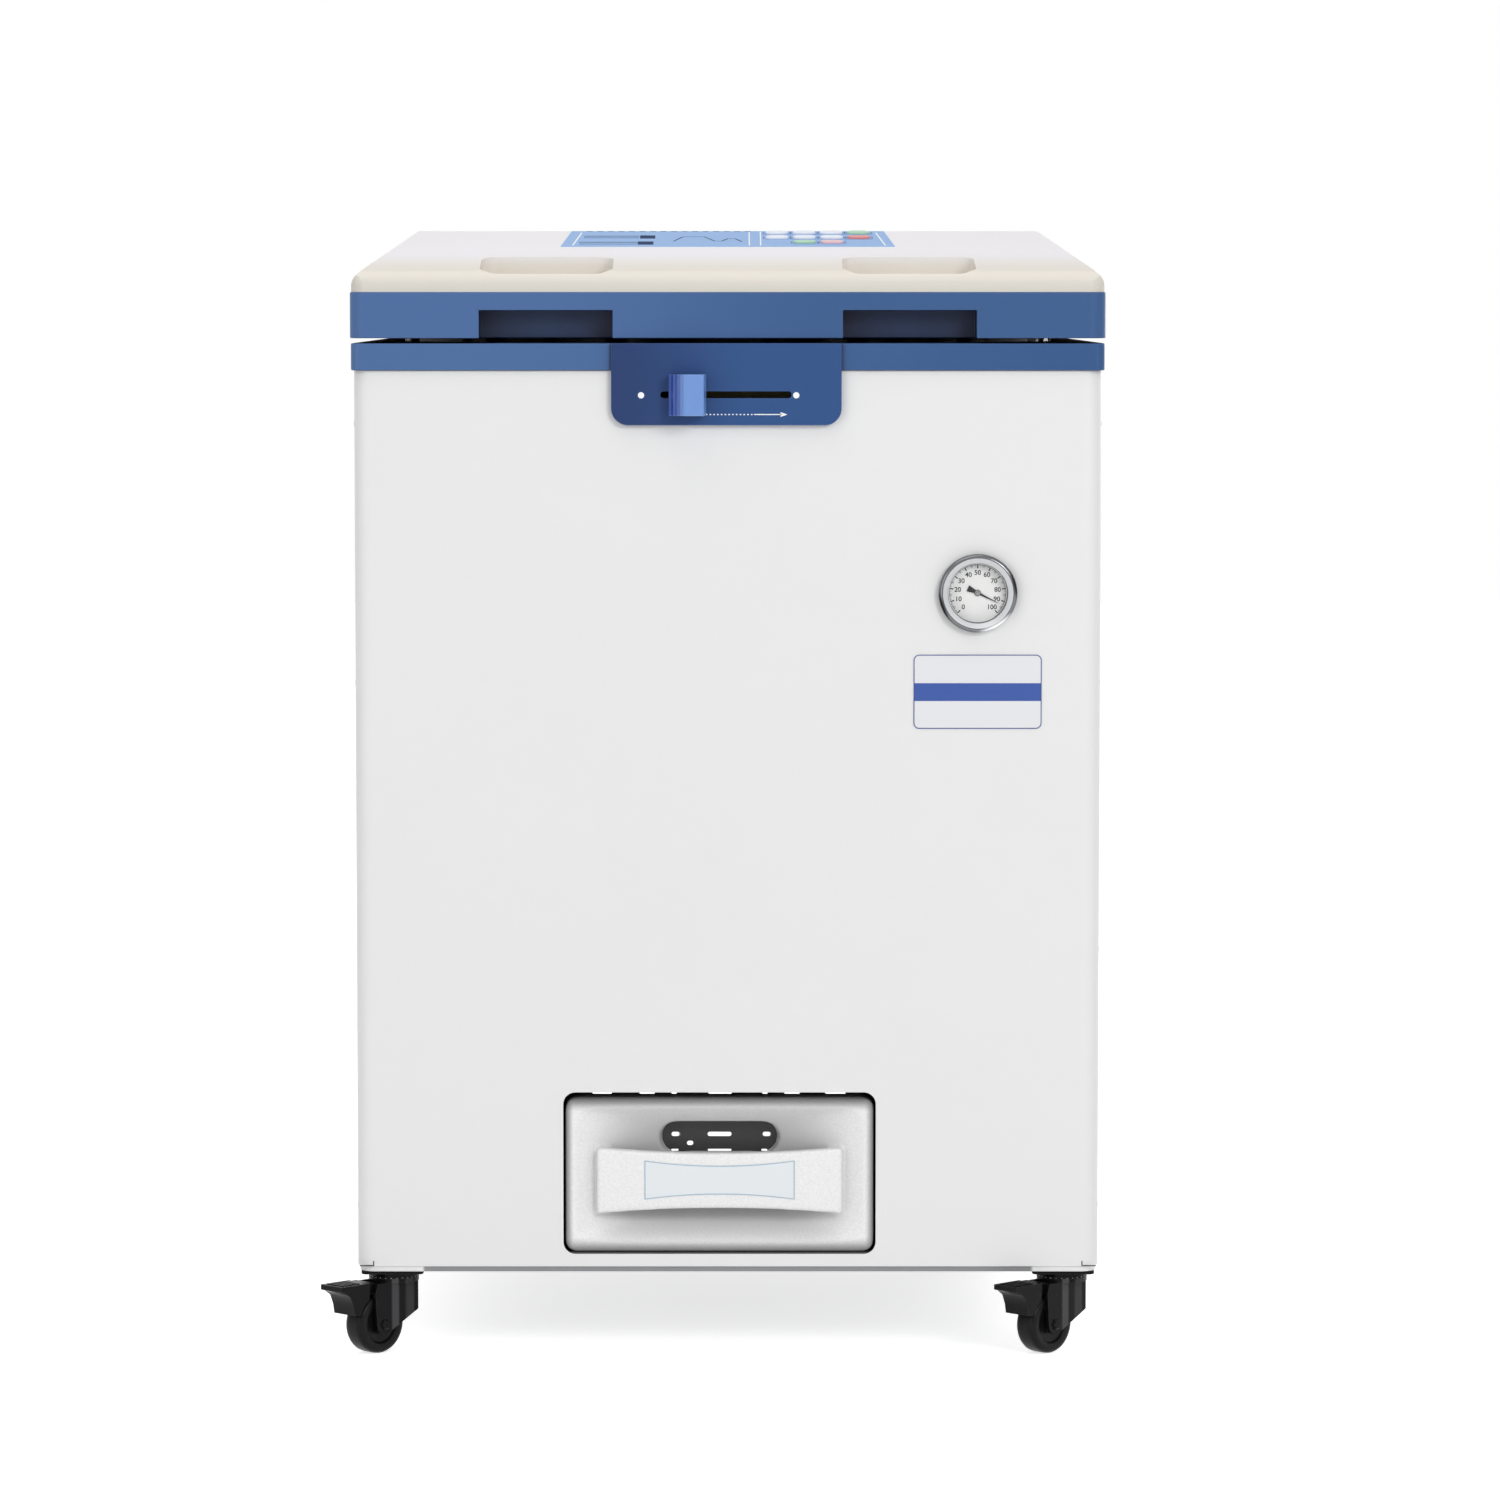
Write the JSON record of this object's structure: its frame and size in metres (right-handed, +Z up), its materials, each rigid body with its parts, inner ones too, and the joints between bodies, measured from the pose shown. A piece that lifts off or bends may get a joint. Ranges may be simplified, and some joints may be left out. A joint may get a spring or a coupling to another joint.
{
  "type": "laboratory autoclave",
  "caption": "Floor-standing top-loading steam autoclave with a hinged lid, bayonet lock ring, dial gauge, drain tank and braked swivel casters.",
  "frame": {"origin": "floor point below the chamber's axis, the middle of the footprint", "axes": "+X to the right seen from the front, +Y to the rear, +Z up"},
  "size_m": [0.6774, 0.6798, 0.9372],
  "materials": {
    "panel_white": "smooth powder coat",
    "zinc_sheet": "zinc-plated sheet",
    "rim_blue": "satin paint",
    "moulded_blue": "satin moulded plastic",
    "knob_blue": "gloss moulded plastic",
    "cover_ivory": "satin moulded plastic",
    "stainless": "brushed",
    "mineral_wool": "matt",
    "heater_sheath": "heat-tinted",
    "chrome_bezel": "polished",
    "dial_white": "matt print",
    "gauge_glass": "clear",
    "needle_black": "matt",
    "plate_white": "printed film",
    "brass": "machined",
    "bay_dark": "matt",
    "box_grey": "matt",
    "screw_zinc": "bright",
    "black_plastic": "moulded",
    "caster_black": "moulded nylon",
    "tyre_black": "smooth",
    "tank_white": "grained polyethylene",
    "gasket_red": "silicone",
    "arm_steel": "satin",
    "overlay_blue": "printed film",
    "board_green": "solder mask",
    "key_white": "satin",
    "key_green": "satin",
    "key_pink": "satin",
    "key_red": "satin"
  },
  "bodies": {
    "cabinet": {"base_pan": "zinc_sheet", "inner_frame": "zinc_sheet", "front_panel": "panel_white", "side_panel_left": "panel_white", "side_panel_right": "panel_white", "rear_panel": "panel_white", "top_rim": "rim_blue", "latch_housing": "moulded_blue", "vessel": "stainless", "insulation_jacket": "mineral_wool", "heater_element": "heater_sheath", "chamber_screen": "stainless", "gauge_bezel": "chrome_bezel", "gauge_dial": "dial_white", "gauge_glass": "gauge_glass", "label_plate": "plate_white", "service_valves": "brass", "pipes": "stainless", "mains_inlet": "black_plastic", "tank_bay": "bay_dark", "control_box": "box_grey", "panel_screws": "screw_zinc", "caster_plates": "caster_black", "hinge_brackets": "arm_steel"},
    "lid": {"lid_cover": "cover_ivory", "lid_band": "moulded_blue", "lid_plate": "stainless", "lid_gasket": "gasket_red", "lid_arms": "arm_steel", "control_overlay": "overlay_blue", "keypad_board": "board_green"},
    "lock": {"lock_ring": "stainless", "lock_knob": "knob_blue"},
    "tank": {"tank_face": "tank_white", "drain_tank": "tank_white", "tank_insert": "bay_dark"},
    "needle": {"gauge_needle": "needle_black"},
    "switch": {"power_switch": "black_plastic"},
    "key_1": {"key_1": "key_white"},
    "key_2": {"key_2": "key_white"},
    "key_3": {"key_3": "key_white"},
    "key_4": {"key_4": "key_white"},
    "key_5": {"key_5": "key_green"},
    "key_6": {"key_6": "key_white"},
    "key_7": {"key_7": "key_white"},
    "key_8": {"key_8": "key_pink"},
    "key_9": {"key_9": "key_green"},
    "key_10": {"key_10": "key_red"},
    "fork_front_left": {"fork_front_left": "caster_black"},
    "wheel_front_left": {"wheel_front_left": "tyre_black"},
    "brake_front_left": {"brake_front_left": "caster_black"},
    "fork_front_right": {"fork_front_right": "caster_black"},
    "wheel_front_right": {"wheel_front_right": "tyre_black"},
    "brake_front_right": {"brake_front_right": "caster_black"},
    "fork_rear_left": {"fork_rear_left": "caster_black"},
    "wheel_rear_left": {"wheel_rear_left": "tyre_black"},
    "brake_rear_left": {"brake_rear_left": "caster_black"},
    "fork_rear_right": {"fork_rear_right": "caster_black"},
    "wheel_rear_right": {"wheel_rear_right": "tyre_black"},
    "brake_rear_right": {"brake_rear_right": "caster_black"}
  },
  "joints": [
    {"name": "lid_hinge", "type": "hinge", "parent": "cabinet", "child": "lid", "pos_m": [0, 0.328, 0.848], "axis": [-1, 0, 0], "range_deg": [0, 80]},
    {"name": "lock_turn", "type": "hinge", "parent": "cabinet", "child": "lock", "pos_m": [0, 0, 0.84], "axis": [0, 0, 1], "range_deg": [0, 13.4]},
    {"name": "tank_slide", "type": "slide", "parent": "cabinet", "child": "tank", "axis": [0, -1, 0], "range_m": [0, 0.15]},
    {"name": "gauge_needle_turn", "type": "hinge", "parent": "cabinet", "child": "needle", "pos_m": [0.2067, -0.305, 0.6363], "axis": [0, -1, 0], "range_deg": [-19, 251], "stiffness_Nm_per_rad": 0.002},
    {"name": "power_switch_rock", "type": "hinge", "parent": "cabinet", "child": "switch", "pos_m": [-0.21, 0.307, 0.16], "axis": [-1, 0, 0], "range_deg": [0, 18]},
    {"name": "key_1_press", "type": "slide", "parent": "lid", "child": "key_1", "axis": [0, 0.1668, -0.986], "range_m": [0, 0.0008], "stiffness_N_per_m": 800, "springref_m": -0.0005},
    {"name": "key_2_press", "type": "slide", "parent": "lid", "child": "key_2", "axis": [0, 0.1668, -0.986], "range_m": [0, 0.0008], "stiffness_N_per_m": 800, "springref_m": -0.0005},
    {"name": "key_3_press", "type": "slide", "parent": "lid", "child": "key_3", "axis": [0, 0.1668, -0.986], "range_m": [0, 0.0008], "stiffness_N_per_m": 800, "springref_m": -0.0005},
    {"name": "key_4_press", "type": "slide", "parent": "lid", "child": "key_4", "axis": [0, 0.1668, -0.986], "range_m": [0, 0.0008], "stiffness_N_per_m": 800, "springref_m": -0.0005},
    {"name": "key_5_press", "type": "slide", "parent": "lid", "child": "key_5", "axis": [0, 0.1668, -0.986], "range_m": [0, 0.0008], "stiffness_N_per_m": 800, "springref_m": -0.0005},
    {"name": "key_6_press", "type": "slide", "parent": "lid", "child": "key_6", "axis": [0, 0.1668, -0.986], "range_m": [0, 0.0008], "stiffness_N_per_m": 800, "springref_m": -0.0005},
    {"name": "key_7_press", "type": "slide", "parent": "lid", "child": "key_7", "axis": [0, 0.1668, -0.986], "range_m": [0, 0.0008], "stiffness_N_per_m": 800, "springref_m": -0.0005},
    {"name": "key_8_press", "type": "slide", "parent": "lid", "child": "key_8", "axis": [0, 0.1668, -0.986], "range_m": [0, 0.0008], "stiffness_N_per_m": 800, "springref_m": -0.0005},
    {"name": "key_9_press", "type": "slide", "parent": "lid", "child": "key_9", "axis": [0, 0.1668, -0.986], "range_m": [0, 0.0008], "stiffness_N_per_m": 800, "springref_m": -0.0005},
    {"name": "key_10_press", "type": "slide", "parent": "lid", "child": "key_10", "axis": [0, 0.1668, -0.986], "range_m": [0, 0.0008], "stiffness_N_per_m": 800, "springref_m": -0.0005},
    {"name": "swivel_front_left", "type": "hinge", "parent": "cabinet", "child": "fork_front_left", "pos_m": [-0.28, -0.28, 0.06], "axis": [0, 0, 1], "continuous": true},
    {"name": "spin_front_left", "type": "hinge", "parent": "fork_front_left", "child": "wheel_front_left", "pos_m": [-0.29556, -0.29556, 0.025], "axis": [0.7071, -0.7071, 0], "continuous": true},
    {"name": "brake_press_front_left", "type": "hinge", "parent": "fork_front_left", "child": "brake_front_left", "pos_m": [-0.29697, -0.29697, 0.055], "axis": [0.7071, -0.7071, 0], "range_deg": [0, 6]},
    {"name": "swivel_front_right", "type": "hinge", "parent": "cabinet", "child": "fork_front_right", "pos_m": [0.28, -0.28, 0.06], "axis": [0, 0, 1], "continuous": true},
    {"name": "spin_front_right", "type": "hinge", "parent": "fork_front_right", "child": "wheel_front_right", "pos_m": [0.26444, -0.29556, 0.025], "axis": [0.7071, -0.7071, 0], "continuous": true},
    {"name": "brake_press_front_right", "type": "hinge", "parent": "fork_front_right", "child": "brake_front_right", "pos_m": [0.26303, -0.29697, 0.055], "axis": [0.7071, -0.7071, 0], "range_deg": [0, 6]},
    {"name": "swivel_rear_left", "type": "hinge", "parent": "cabinet", "child": "fork_rear_left", "pos_m": [-0.28, 0.28, 0.06], "axis": [0, 0, 1], "continuous": true},
    {"name": "spin_rear_left", "type": "hinge", "parent": "fork_rear_left", "child": "wheel_rear_left", "pos_m": [-0.26444, 0.29556, 0.025], "axis": [-0.7071, 0.7071, 0], "continuous": true},
    {"name": "brake_press_rear_left", "type": "hinge", "parent": "fork_rear_left", "child": "brake_rear_left", "pos_m": [-0.26303, 0.29697, 0.055], "axis": [-0.7071, 0.7071, 0], "range_deg": [0, 6]},
    {"name": "swivel_rear_right", "type": "hinge", "parent": "cabinet", "child": "fork_rear_right", "pos_m": [0.28, 0.28, 0.06], "axis": [0, 0, 1], "continuous": true},
    {"name": "spin_rear_right", "type": "hinge", "parent": "fork_rear_right", "child": "wheel_rear_right", "pos_m": [0.29556, 0.29556, 0.025], "axis": [-0.7071, 0.7071, 0], "continuous": true},
    {"name": "brake_press_rear_right", "type": "hinge", "parent": "fork_rear_right", "child": "brake_rear_right", "pos_m": [0.29697, 0.29697, 0.055], "axis": [-0.7071, 0.7071, 0], "range_deg": [0, 6]}
  ]
}
